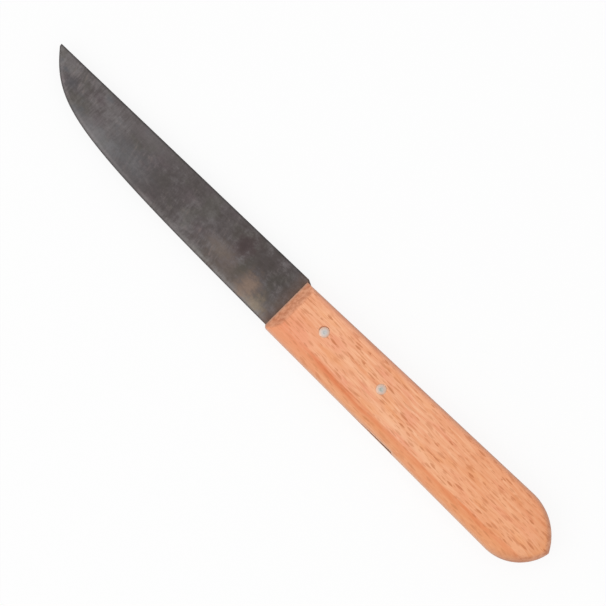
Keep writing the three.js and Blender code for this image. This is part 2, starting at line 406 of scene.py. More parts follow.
class ShapeGraph(Graph):
    """Writes a tree of Geometry Nodes with named inputs for its sizes."""

    def __init__(self, name: str, sizes: dict[str, Plain]) -> None:
        """Starts a tree.

        Args:
            name: Name of the tree.
            sizes: Its named inputs and their values.
        """
        super().__init__(bpy.data.node_groups.new(name, "GeometryNodeTree"))
        self.sizes = sizes
        face = self.tree.interface
        face.new_socket("Geometry", in_out="INPUT", socket_type="NodeSocketGeometry")
        face.new_socket("Geometry", in_out="OUTPUT", socket_type="NodeSocketGeometry")
        for size, value in sizes.items():
            face.new_socket(size, in_out="INPUT", socket_type=SOCKET_KINDS[type(value)])
        face.new_socket("Finish", in_out="INPUT", socket_type="NodeSocketMaterial")
        self.inputs = self.node("NodeGroupInput")

    def size(self, name: str) -> Field:
        """Gives a named input."""
        return self.out(self.inputs, name)

    def sheet(self, columns: Value, rows: Value) -> tuple[Field, Field, Field]:
        """Lays a sheet of points to be shaped.

        Args:
            columns: How many points it has along u.
            rows: How many points it has along v.

        Returns:
            The sheet, and the u and v of its points, from -0.5 to 0.5.
        """
        values = {"Size X": 1.0, "Size Y": 1.0, "Vertices X": columns, "Vertices Y": rows}
        u, v, _ = self.split(self.field("GeometryNodeInputPosition"))
        return self.field("GeometryNodeMeshGrid", values), u, v

    def marked(self, shape: Field, mark: Mark, value: Field) -> Field:
        """Keeps a value on a shape for its finish."""
        values = {"Geometry": shape, "Name": mark.value, "Value": value}
        return self.field("GeometryNodeStoreNamedAttribute", values)

    def halved(self, sheet: Field, upper: Field, lower: Field) -> Field:
        """Bends a sheet to the upper half of a closed shape, and its copy to the lower half.

        Args:
            sheet: The sheet.
            upper: Where its points go in the upper half.
            lower: Where they go in the lower half.

        Returns:
            The two halves, welded.
        """
        halves = self.node("GeometryNodeJoinGeometry")
        raised = self.field("GeometryNodeSetPosition", {"Geometry": sheet, "Position": upper})
        self.put(halves.inputs[0], self.field("GeometryNodeFlipFaces", {"Mesh": raised}))
        lowered = self.field("GeometryNodeSetPosition", {"Geometry": sheet, "Position": lower})
        self.put(halves.inputs[0], lowered)
        return self.field("GeometryNodeMergeByDistance", {"Geometry": self.out(halves), "Distance": WELD})

    def moved(self, shape: Field, to: Field) -> Field:
        """Moves a shape from the origin to a place."""
        return self.field("GeometryNodeTransform", {"Geometry": shape, "Translation": to})

    def at_pins(self, shape: Field) -> Field:
        """Sets a shape at each pin's place.

        Args:
            shape: The shape, around the origin.

        Returns:
            Its copies.
        """
        places = self.field("GeometryNodeMeshLine", {
            "Count": self.size("Pins"),
            "Start Location": self.size("First Pin"),
            "Offset": self.size("Pin Step"),
        })
        copies = self.field("GeometryNodeInstanceOnPoints", {"Points": places, "Instance": shape})
        return self.field("GeometryNodeRealizeInstances", {"Geometry": copies})

    def drill(self, depth: Value) -> Field:
        """Gives a cylinder that cuts a pin hole, half above and half below the origin."""
        values = {"Vertices": HOLE_SIDES, "Radius": self.size("Hole Radius"), "Depth": depth}
        return self.field("GeometryNodeMeshCylinder", values)

    def cut(self, shape: Field, *cutters: Field) -> Field:
        """Cuts a shape.

        Args:
            shape: The shape.
            cutters: What is taken out of it.

        Returns:
            What is left.
        """
        values = {"Mesh 1": shape}
        made = self.node("GeometryNodeMeshBoolean", values, operation="DIFFERENCE", solver="EXACT")
        for cutter in cutters:
            self.put(made.inputs["Mesh 2"], cutter)
        return self.out(made)

    def end(self, geometry: Field) -> None:
        """Ends the tree with a shape that is realized, smooth and has its finish.

        Args:
            geometry: The shape.
        """
        real = self.field("GeometryNodeRealizeInstances", {"Geometry": geometry})
        smooth = self.field("GeometryNodeSetShadeSmooth", {"Geometry": real})
        values = {"Geometry": smooth, "Material": self.size("Finish")}
        self.node("NodeGroupOutput", {"Geometry": self.field("GeometryNodeSetMaterial", values)})

    def grow(
        self, name: str, base: bpy.types.Mesh, finish: bpy.types.Material, sharp: float
    ) -> bpy.types.Object:
        """Runs the tree on a mesh and keeps the result as a plain mesh.

        Args:
            name: Name of the piece.
            base: The mesh that the tree starts from.
            finish: Material of the piece.
            sharp: Angle from which an edge of the piece is sharp.

        Returns:
            The piece, with no modifier left.
        """
        piece = bpy.data.objects.new(name, base)
        bpy.context.scene.collection.objects.link(piece)
        modifier = piece.modifiers.new(self.tree.name, "NODES")
        modifier.node_group = self.tree
        given = dict(self.sizes, Finish=finish)
        for item in self.tree.interface.items_tree:
            if item.in_out == "INPUT" and item.name in given:
                modifier[item.identifier] = given[item.name]
        depsgraph = bpy.context.evaluated_depsgraph_get()
        grown = bpy.data.meshes.new_from_object(
            piece.evaluated_get(depsgraph), preserve_all_data_layers=True, depsgraph=depsgraph
        )
        piece.modifiers.remove(modifier)
        piece.data = grown
        grown.name = name
        bpy.data.meshes.remove(base)
        grown.set_sharp_from_angle(angle=sharp)
        return piece


def mesh_of(name: str, points: np.ndarray, edges: list, faces: list) -> bpy.types.Mesh:
    """Makes a mesh of points, loose edges and faces.

    Args:
        name: Name of the mesh.
        points: Places of the points, one row each.
        edges: Pairs of points, for a line.
        faces: Rows of points, for a surface.

    Returns:
        The mesh.
    """
    mesh = bpy.data.meshes.new(name)
    mesh.from_pydata(points.tolist(), edges, faces)
    mesh.update()
    return mesh


def weld(mesh: bpy.types.Mesh) -> None:
    """Welds points that lie on each other, so that a folded ring closes.

    Args:
        mesh: The mesh, which is changed.
    """
    work = bmesh.new()
    work.from_mesh(mesh)
    bmesh.ops.remove_doubles(work, verts=work.verts, dist=WELD)
    bmesh.ops.dissolve_degenerate(work, edges=work.edges, dist=WELD)
    work.to_mesh(mesh)
    work.free()


@dataclass(frozen=True)
class Layout:
    """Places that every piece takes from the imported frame.

    Attributes:
        wood_front: x of the front of the wood.
        butt: x of the point at the handle's rear.
        tip: x of the blade's tip.
        tang_end: x of the tang's rear end.
        belly: y of the handle's belly line.
        side: z of the handle's lower flat side.
        thickness: Thickness of the handle.
        steel: Thickness of the blade at its heel.
        front_pin: Middle of the front pin.
        pin_step: From the front pin to the rear pin.
        pin_head: Radius of a pin's spread end.
        pin_reach: From a pin's middle to the top of its end.
    """

    wood_front: float
    butt: float
    tip: float
    tang_end: float
    belly: float
    side: float
    thickness: float
    steel: float
    front_pin: Vector
    pin_step: Vector
    pin_head: float
    pin_reach: float

    @classmethod
    def from_frame(cls) -> "Layout":
        """Reads the places off the boxes of the solids.

        Returns:
            The places.
        """
        blade_low, blade_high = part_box(Node.BLADE.value)
        handle_low, handle_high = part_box(Node.HANDLE.value)
        pin_low, pin_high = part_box(Node.FRONT_PIN.value)
        rear_low, rear_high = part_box(Node.REAR_PIN.value)
        front_pin = (pin_low + pin_high) / 2
        return cls(
            wood_front=handle_high.x,
            butt=handle_low.x,
            tip=blade_high.x - HAIR,
            tang_end=blade_low.x,
            belly=handle_high.y,
            side=handle_low.z,
            thickness=handle_high.z - handle_low.z,
            steel=blade_high.z - blade_low.z,
            front_pin=front_pin,
            pin_step=(rear_low + rear_high) / 2 - front_pin,
            pin_head=(pin_high.x - pin_low.x) / 2,
            pin_reach=(pin_high.z - pin_low.z) / 2,
        )

    @property
    def middle(self) -> float:
        """z of the plane through the middle of the blade."""
        return self.side + self.thickness / 2

    @property
    def pins(self) -> dict[str, Plain]:
        """Sizes of a tree that sets something at each pin."""
        return {"First Pin": self.front_pin, "Pin Step": self.pin_step, "Pins": len(PIN_NODES)}


@dataclass(frozen=True)
class Stain:
    """A stain on the blade, in millimetres.

    Attributes:
        along: Middle of the stain in front of the wood.
        height: Middle of the stain above the belly line.
        length: Half its length along the blade.
        width: Half its width across the blade.
        strength: How much of the stain's colour shows.
        colour: The stain's colour.
    """

    along: float
    height: float
    length: float
    width: float
    strength: float
    colour: Colour


@dataclass(frozen=True)
class PatinaSteel:
    """Carbon steel gone dark and blotchy in use, over grinding marks that run across the blade."""

    layout: Layout
    dark: Colour = srgb(72, 66, 64)
    bare: Colour = srgb(136, 133, 131)
    rust: Colour = srgb(113, 89, 75)
    # Painted shade for the dark rims along the spine and the edge
    rim_shade: Colour = srgb(60, 57, 56)
    layers: tuple[Layer, ...] = (
        Layer(srgb(91, 85, 85), {"tone": Fade(0.0, 0.55, soft=False)}),
        Layer(srgb(120, 116, 116), {"tone": Fade(0.5, 1.2, soft=False)}),
        Layer(srgb(92, 80, 84), {"hue": Fade(0.53, 0.68, 0.3)}),
        Layer(srgb(80, 79, 70), {"hue": Fade(0.47, 0.34, 0.32)}),
        Layer(srgb(78, 80, 84), {"chill": Fade(0.56, 0.7, 0.6), "tip": AS_IT_IS}),
        Layer(srgb(116, 100, 94), {"smear": Fade(0.54, 0.8, 0.4), "worn": AS_IT_IS}),
    )
    stains: tuple[Stain, ...] = (
        Stain(14.0, 14.0, 15.0, 6.0, 0.75, srgb(72, 65, 63)),
        Stain(50.5, 8.6, 10.0, 6.6, 0.65, srgb(73, 67, 66)),
        Stain(62.0, 15.6, 9.0, 3.6, 0.4, srgb(112, 107, 107)),
        Stain(64.0, 6.5, 11.0, 6.0, 0.45, srgb(99, 100, 103)),
        Stain(74.0, 5.2, 10.0, 3.4, 0.45, srgb(122, 121, 122)),
        Stain(20.0, 12.5, 4.0, 5.0, 0.4, srgb(84, 66, 68)),
        Stain(17.0, 5.0, 15.0, 5.5, 0.55, srgb(104, 92, 84)),
        Stain(6.6, 3.0, 4.5, 2.8, 0.7, srgb(142, 128, 111)),
        Stain(11.4, 4.8, 4.4, 5.0, 0.64, srgb(138, 117, 103)),
        Stain(16.4, 7.6, 2.2, 4.4, 0.5, srgb(70, 69, 62)),
        Stain(6.6, 12.2, 4.0, 4.0, 0.5, srgb(70, 66, 61)),
        Stain(25.0, 7.6, 6.0, 2.6, 0.3, srgb(122, 110, 100)),
        Stain(20.4, 13.2, 2.4, 3.2, 0.55, srgb(62, 53, 53)),
        Stain(90.0, 10.6, 2.6, 2.4, 0.5, srgb(74, 75, 79)),
    )
    stain_edge: Fade = Fade(1.3, 0.0)
    stain_ragged: float = 2.4

    blotch: Pattern = Pattern((12, 8, 8), 4, 0.6)
    mottle: Pattern = Pattern((3.2, 2.4, 2.4), 6, 0.72)
    across: Pattern = Pattern((0.9, 11, 4), 5, 0.72, turn=4)
    slanted: Pattern = Pattern((0.7, 6, 4), 4, 0.6, turn=-19)
    fine: Pattern = Pattern((0.5, 5, 4), 4, 0.7, turn=2)
    wear: Pattern = Pattern((14, 10, 8))
    hue: Pattern = Pattern((7, 6, 6), 3)
    chill: Pattern = Pattern((6, 4, 4))
    fleck: Pattern = Pattern((1.3, 1.0, 1.0), 4, 0.75)

    tone: float = 0.44
    blotch_tone: float = 1.5
    mottle_tone: float = 1.2
    across_tone: float = 0.35
    across_worn: float = 0.5
    slanted_worn: float = 0.8
    fine_tone: float = 0.3
    fine_tip: float = 0.6
    tip_tone: float = 0.2
    worn: Fade = Fade(0.42, 0.62)
    fleck_dark: float = 0.71
    fleck_light: float = 0.48

    # Millimetres in front of the wood
    tip: Fade = Fade(40, 88)
    ground_loss: Fade = Fade(24, 62, 0.34)
    heel_mottle: Fade = Fade(36, 14, 0.7)
    rust_faint: Fade = Fade(6.0, 1.6, 0.35)
    rust_faint_ragged: float = 3
    rust_near: Fade = Fade(2.4, 0.8, 0.3)
    rust_near_ragged: float = 2

    # Millimetres from the edge or the spine, with a painted shade along the rims of both
    ground: Fade = Fade(2.8, 0.8)
    ground_patch: Fade = Fade(0.25, 0.65)
    ground_across: float = 0.6
    ground_share: float = 0.44
    spine_rim: Fade = Fade(0.85, 0.15, 0.68)
    edge_rim: Fade = Fade(0.7, 0.1, 0.68)

    roughness: float = 0.42
    blotch_rough: float = 0.3
    across_rough: float = 0.2
    across_lift: float = 0.7
    slanted_lift: float = 0.3
    mottle_lift: float = 0.4
    surface: Surface = Surface(relief=0.5, depth=0.04 * MM, metallic=0.85)

    def build(self) -> bpy.types.Material:
        """Writes the finish.

        Returns:
            The material.
        """
        graph = FinishGraph("patina_steel")
        place = graph.millimetres()
        x, y, _ = graph.split(place)
        along = x - self.layout.wood_front / MM
        height = self.layout.belly / MM - y
        edge = graph.mark(Mark.FROM_EDGE)
        spine = graph.mark(Mark.FROM_SPINE)

        blotch = graph.noise(place, self.blotch)
        mottle = graph.noise(place, self.mottle)
        across = graph.noise(place, self.across)
        slanted = graph.noise(place, self.slanted)
        fine = graph.noise(place, self.fine)
        worn = graph.noise(place, self.wear).fade(self.worn)
        tip = along.fade(self.tip)
        marks = across.swing * (self.across_tone + worn * self.across_worn)
        marks = marks + slanted.swing * worn * self.slanted_worn
        marks = marks + fine.swing * (self.fine_tone + tip * self.fine_tip)
        mottled = mottle.swing * (self.mottle_tone + along.fade(self.heel_mottle))
        colour = graph.layered(self.dark, self.layers, {
            "tone": self.tone + blotch.swing * self.blotch_tone + mottled + marks + tip * self.tip_tone,
            "hue": graph.noise(place, self.hue),
            "chill": graph.noise(place, self.chill),
            "tip": tip,
            "smear": slanted + mottle.swing,
            "worn": worn,
        })
        for stain in self.stains:
            out = graph.away((along - stain.along) / stain.length, (height - stain.height) / stain.width)
            share = (out + mottle.swing * self.stain_ragged).fade(self.stain_edge)
            colour = graph.tint(share * stain.strength, colour, stain.colour)

        patch = (mottle + across.swing * self.ground_across).fade(self.ground_patch)
        ground = edge.fade(self.ground) * patch * (self.ground_share - along.fade(self.ground_loss))
        colour = graph.tint(ground, colour, self.bare)
        # Painted shade: the spine and the edge darkened where they turn away from the light
        rim = graph.math("MAXIMUM", spine.fade(self.spine_rim), edge.fade(self.edge_rim))
        colour = graph.tint(rim, colour, self.rim_shade)
        faint = (along + mottle * self.rust_faint_ragged).fade(self.rust_faint)
        near = (along + mottle * self.rust_near_ragged).fade(self.rust_near)
        colour = graph.tint(faint + near, colour, self.rust)
        flecks = self.fleck_dark + graph.noise(place, self.fleck) * self.fleck_light
        colour = graph.tint(1.0, colour, graph.join(flecks, flecks, flecks), "MULTIPLY")

        rough = self.roughness + blotch.swing * self.blotch_rough + across.swing * self.across_rough
        lift = across * self.across_lift + slanted * self.slanted_lift + mottle * self.mottle_lift
        return graph.end(colour, rough, lift, self.surface)


@dataclass(frozen=True)
class Dashes:
    """One size of the dark dashes that wood rays make where they end in a face, in millimetres.

    Attributes:
        room: Room for one dash along x, y and z.
        length: Half the length of the longest dash.
        width: Half the width of a dash.
        share: Share of the places that hold a dash.
        strength: How dark the darkest dash is.
    """

    room: Lengths
    length: float
    width: float
    share: float
    strength: float


@dataclass(frozen=True)
class Rays:
    """The short dark rays of beech, which lie along the grain and stand upright in the flat side.

    Attributes:
        dashes: The sizes of their dashes.
        shortest: The shortest dash, as a share of the longest.
        faintest: The faintest dash, as a share of the darkest.
        lean: Slope between the dashes that lean most to either side.
        shuffle: Makes the lean of a dash a chance of its own.
        ragged: How ragged the fibres make an outline.
        outline: How a dash darkens inwards from its outline.
        doubt: Chances this near to the share of places hold a faint dash.
    """

    dashes: tuple[Dashes, ...] = (
        Dashes(room=(8.4, 2.8, 9), length=2.5, width=0.44, share=0.85, strength=0.78),
        Dashes(room=(6.8, 1.7, 7), length=2.1, width=0.36, share=0.88, strength=0.62),
        Dashes(room=(5.2, 1.0, 6), length=1.6, width=0.25, share=0.9, strength=0.44),
    )
    shortest: float = 0.5
    faintest: float = 0.35
    lean: float = 0.16
    shuffle: float = 17
    ragged: float = 0.8
    outline: Fade = Fade(0.0, 0.6)
    doubt: float = 0.03

    def build(self, graph: FinishGraph, place: Field, fibre: Field) -> Field:
        """Writes the rays.

        Args:
            graph: The finish that is being written.
            place: Where they are read, along the grain.
            fibre: Pattern that makes their outlines ragged.

        Returns:
            0 between the rays, up to 1 in them.
        """
        found: Value = 0.0
        for kind in self.dashes:
            at = graph.stretched(place, kind.room)
            cells = graph.node("ShaderNodeTexVoronoi", {"Vector": at, "Scale": 1.0})
            ends = {0: at, 1: graph.out(cells, "Position")}
            gap = graph.field("ShaderNodeVectorMath", ends, operation="SUBTRACT")
            along, across, deep = graph.split(gap)
            chance, length, shade = graph.split(graph.out(cells, "Color"))
            lean = graph.math("FRACT", chance * self.shuffle).swing * self.lean
            out = along * kind.room[0] / (kind.length * (self.shortest + length * (1 - self.shortest)))
            aside = abs(across * kind.room[1] + along * kind.room[0] * lean) / kind.width
            inside = 1 - out * out - aside - deep * deep * deep * deep + fibre.swing * self.ragged
            bare = 1 - kind.share
            there = graph.rise(chance, bare - self.doubt, bare + self.doubt)
            dark = there * (self.faintest + shade * (1 - self.faintest)) * kind.strength
            found = graph.math("MAXIMUM", found, inside.fade(self.outline) * dark)
        return found


@dataclass(frozen=True)
class SteamedBeech:
    """Oiled, steamed beech sawn flat: pinkish wood with short dark rays along its grain."""

    layout: Layout
    pale: Colour = srgb(249, 186, 144)
    rosy: Colour = srgb(239, 156, 122)
    amber: Colour = srgb(236, 156, 100)
    late: Colour = srgb(216, 132, 88)
    bright: Colour = srgb(252, 194, 153)
    end: Colour = srgb(188, 114, 78)
    end_light: Colour = srgb(230, 164, 128)
    arris: Colour = srgb(168, 149, 132)
    # Painted shade for the steep faces of the spine side and the butt, and a painted highlight for those of
    # the belly
    upper_edge_shade: Colour = srgb(150, 98, 72)
    lower_edge_highlight: Colour = srgb(214, 182, 160)
    rays: Rays = Rays()
    layers: tuple[Layer, ...] = (
        Layer(srgb(235, 159, 116), {"streak": Fade(0.3, 0.7)}),
        Layer(rosy, {"hue": Fade(0.52, 0.7, 0.6)}),
        Layer(amber, {"hue": Fade(0.48, 0.3, 0.5)}),
        Layer(late, {"ring": Fade(0.35, 0.92, 0.3, until=(0.92, 1.0))}),
        Layer(late, {"fibre": Fade(0.48, 0.8, 0.85)}),
        Layer(bright, {"fibre": Fade(0.5, 0.22, 0.85)}),
        # Deeper amber on the belly's rounding: partly the wood's own colour, partly painted, standing in
        # for the sheen that the flat side has and the rounding lacks
        Layer(amber, {"height": Fade(4.8, 3.4, 0.45)}),
        # Painted highlight a little above the belly's crease
        Layer(bright, {"over_crease": Fade(0.9, 1.8, 0.5, until=(2.6, 4.4)), "faint": AS_IT_IS}),
        # Painted shade: a dark line along the belly's crease
        Layer(srgb(222, 124, 74), {
            "over_crease": Fade(-2.4, -0.6, until=(0.0, 0.5)),
            "patch": Fade(0.2, 0.65),
            "lost": Fade(1.0, 0.0, soft=False),
        }),
        Layer(rosy, {"over_brow": Fade(15.8, 17.6, 0.4)}),
        # Painted shade toward the upper edge of the butt
        Layer(late, {"behind": Fade(86, 98, 0.36), "height": Fade(12.5, 17)}),
        Layer(srgb(238, 152, 112), {"behind": Fade(25, 4, 0.6), "ragged_height": Fade(15, 6)}),
        Layer(amber, {"rear": AS_IT_IS}),
        Layer(srgb(190, 106, 56), {"ray": AS_IT_IS}),
    )

    # The grain, and growth rings around a pith at y and z
    sway: Pattern = Pattern((34, 14, 14))
    sway_aside: float = 1.6
    sway_down: float = 0.8
    slope: float = 0.012
    streak: Pattern = Pattern((15, 0.95, 0.95), 4, 0.6)
    fibre: Pattern = Pattern((5.5, 0.42, 0.42), 3, 0.65)
    hue: Pattern = Pattern((11, 3.2, 3.2), 3)
    pith: tuple[float, float] = (3.0, -58.0)
    ring: float = 1.9
    ring_wave: Pattern = Pattern((40, 9, 9))
    ring_waves: float = 1.6

    # The crease where the rounding of the belly begins, with its painted shade line and a painted highlight
    # above it, by millimetres behind the front of the wood
    crease_height: float = 4.2
    crease_front: Fade = Fade(30, 4, 0.7)
    crease_rear: Fade = Fade(82, 98, 1.1)
    crease_wander: Pattern = Pattern((16, 5, 5))
    crease_reach: float = 1.2
    crease_patch: Pattern = Pattern((9, 0.9, 0.9), 3)
    faint: Fade = Fade(34, 46, until=(64, 76))
    faint_loss: float = 0.45
    rear_loss: Fade = Fade(84, 98, 0.35)

    # The front and the butt, likewise
    brow_slope: float = 0.034
    flame_ragged: float = 9
    arris_front: Fade = Fade(0.7, 0.15, 0.4)
    amber_rear: Fade = Fade(45, 80, 0.3)
    amber_point: Fade = Fade(99, 104, 0.4)
    butt: Fade = Fade(89, 99)
    # Painted shade at the butt's point
    point_shade: Fade = Fade(96, 103, 0.1)

    # The rays in the belly and the side, and the spine side, by millimetres above the belly line
    belly_ray: float = 0.65
    side_ray: Fade = Fade(3.4, 5.2, 0.35)
    upper: Fade = Fade(6, 12)

    # Faces, by how far they are turned to the flat side or to the ends, with painted shade on the steep
    # faces of the spine side and the butt and a painted highlight on those of the belly
    flat: Fade = Fade(0.3, 0.9)
    steep_ray: float = 0.15
    steep: Fade = Fade(0.7, 0.1)
    steep_ragged: float = 0.5
    steep_share: float = 0.5
    steep_upper: float = 0.04
    butt_rim_shade: Fade = Fade(0.99, 0.65, 0.2)
    end_face: Fade = Fade(0.1, 0.75)
    end_share: float = 0.8
    end_speck: Pattern = Pattern((0.8, 1.5, 1.0), 4, 0.6, turn=25)
    end_dark: Fade = Fade(0.3, 0.7)

    roughness: float = 0.46
    fibre_rough: float = 0.2
    ray_rough: float = 0.15
    end_rough: float = 0.08
    fibre_lift: float = 0.5
    ray_depth: float = 0.7
    streak_lift: float = 0.3
    surface: Surface = Surface(relief=0.5, depth=0.05 * MM)

    def build(self) -> bpy.types.Material:
        """Writes the finish.

        Returns:
            The material.
        """
        graph = FinishGraph("steamed_beech")
        straight = graph.millimetres()
        x, y, z = graph.split(straight)
        height = self.layout.belly / MM - y
        behind = self.layout.wood_front / MM - x
        level = graph.mark(Mark.FLAT_SIDE)
        sway = graph.noise(straight, self.sway).swing
        aside = y + sway * self.sway_aside + x * self.slope
        down = z + sway * self.sway_down
        place = graph.join(x, aside, down)

        streak = graph.noise(place, self.streak)
        fibre = graph.noise(place, self.fibre)
        rings = graph.away(aside - self.pith[0], down - self.pith[1]) / self.ring
        wave = graph.noise(place, self.ring_wave) * self.ring_waves
        crease = self.crease_height + behind.fade(self.crease_front) + behind.fade(self.crease_rear)
        wander = graph.noise(place, self.crease_wander).swing * self.crease_reach
        faint = behind.fade(self.faint)
        flat = level.fade(self.flat) * (self.belly_ray + height.fade(self.side_ray))
        ray = self.rays.build(graph, place, fibre) * (self.steep_ray + flat * (1 - self.steep_ray))
        colour = graph.layered(self.pale, self.layers, {
            "streak": streak,
            "hue": graph.noise(place, self.hue),
            "ring": graph.math("FRACT", rings + wave),
            "fibre": fibre,
            "height": height,
            "over_crease": height - crease + wander,
            "faint": faint,
            "patch": graph.noise(place, self.crease_patch),
            "lost": faint * self.faint_loss + behind.fade(self.rear_loss),
            "over_brow": height - behind * self.brow_slope,
            "behind": behind,
            "ragged_height": height + streak.swing * self.flame_ragged,
            "rear": behind.fade(self.amber_rear) + behind.fade(self.amber_point),
            "ray": ray,
        })

        # Painted shade on the steep faces of the spine side and the butt, painted highlight on those of the
        # belly
        butt = behind.fade(self.butt)
        upper = graph.math("MAXIMUM", height.fade(self.upper), butt)
        steep = (level + streak.swing * self.steep_ragged).fade(self.steep)
        steep = steep * (self.steep_share + upper * self.steep_upper)
        steep = steep + behind.fade(self.point_shade) + level.fade(self.butt_rim_shade) * butt
        colour = graph.tint(steep, colour, graph.tint(upper, self.lower_edge_highlight, self.upper_edge_shade))
        ends = graph.mark(Mark.END_GRAIN).fade(self.end_face)
        speck = graph.noise(straight, self.end_speck).fade(self.end_dark)
        colour = graph.tint(ends * self.end_share, colour, graph.tint(speck, self.end_light, self.end))
        colour = graph.tint(behind.fade(self.arris_front), colour, self.arris)

        rough = self.roughness + fibre.swing * self.fibre_rough
        rough = rough + ray * self.ray_rough + ends * self.end_rough
        lift = fibre * self.fibre_lift - ray * self.ray_depth + streak * self.streak_lift
        return graph.end(colour, rough, lift, self.surface)


@dataclass(frozen=True)
class PeenedAluminium:
    """Soft pin metal, hammered over at the ends and filed with the wood."""

    layout: Layout
    bright: Colour = srgb(197, 191, 187)
    dull: Colour = srgb(180, 180, 177)
    worn: Colour = srgb(168, 168, 158)
    soiled: Colour = srgb(210, 172, 149)
    grain: Pattern = Pattern((0.8, 0.8, 0.8), 4, 0.6)
    filed: Pattern = Pattern((0.09, 1.8, 1), turn=30)
    file_marks: Fade = Fade(0.5, 0.75, 0.3)
    soil_share: float = 0.9

    # Millimetres from the pin's axis
    dull_rim: float = 0.8
    dull_rim_rear: float = 0.4
    dull_core: float = 0.1
    soil_start: float = 0.55
    soil_start_rear: float = 0.15
    soil_full: float = 1.45

    roughness: float = 0.4
    grain_rough: float = 0.3
    filed_lift: float = 0.3
    surface: Surface = Surface(relief=0.4, depth=0.03 * MM, metallic=0.9)

    def build(self) -> bpy.types.Material:
        """Writes the finish.

        Returns:
            The material.
        """
        graph = FinishGraph("peened_aluminium")
        place = graph.millimetres()
        x, _, _ = graph.split(place)
        front = self.layout.front_pin.x / MM
        step = self.layout.pin_step.x / MM
        rear = graph.rise(x, front + step / 4, front + step / 2)
        grain = graph.noise(place, self.grain)
        filed = graph.noise(place, self.filed)
        out = graph.mark(Mark.FROM_AXIS) + grain.swing

        spot = graph.rise(out, self.dull_rim + rear * self.dull_rim_rear, self.dull_core)
        colour = graph.tint(spot, self.bright, graph.tint(rear, self.dull, self.worn))
        colour = graph.tint(filed.fade(self.file_marks), colour, self.dull)
        soil = graph.rise(out, self.soil_start - rear * self.soil_start_rear, self.soil_full)
        colour = graph.tint(soil * self.soil_share, colour, self.soiled)
        rough = self.roughness + grain.swing * self.grain_rough
        return graph.end(colour, rough, grain + filed * self.filed_lift, self.surface)


@dataclass(frozen=True)
class PaleFloor:
    """White studio paper that looks white to the camera and keeps a soft shadow."""

    paper: Colour = (0.94, 0.94, 0.94, 1.0)
    glow: float = 0.88

    def build(self) -> bpy.types.Material:
        """Writes the finish.

        Returns:
            The material.
        """
        graph = FinishGraph("pale_floor")
        nodes = graph.tree.nodes
        nodes.remove(nodes["Principled BSDF"])
        mixed = graph.field("ShaderNodeMixShader", {
            0: graph.seen_directly() * self.glow,
            1: graph.field("ShaderNodeBsdfDiffuse", {"Color": self.paper}),
            2: graph.field("ShaderNodeEmission", {"Color": WHITE, "Strength": 1.0}),
        })
        graph.put(nodes["Material Output"].inputs["Surface"], mixed)
        return graph.material


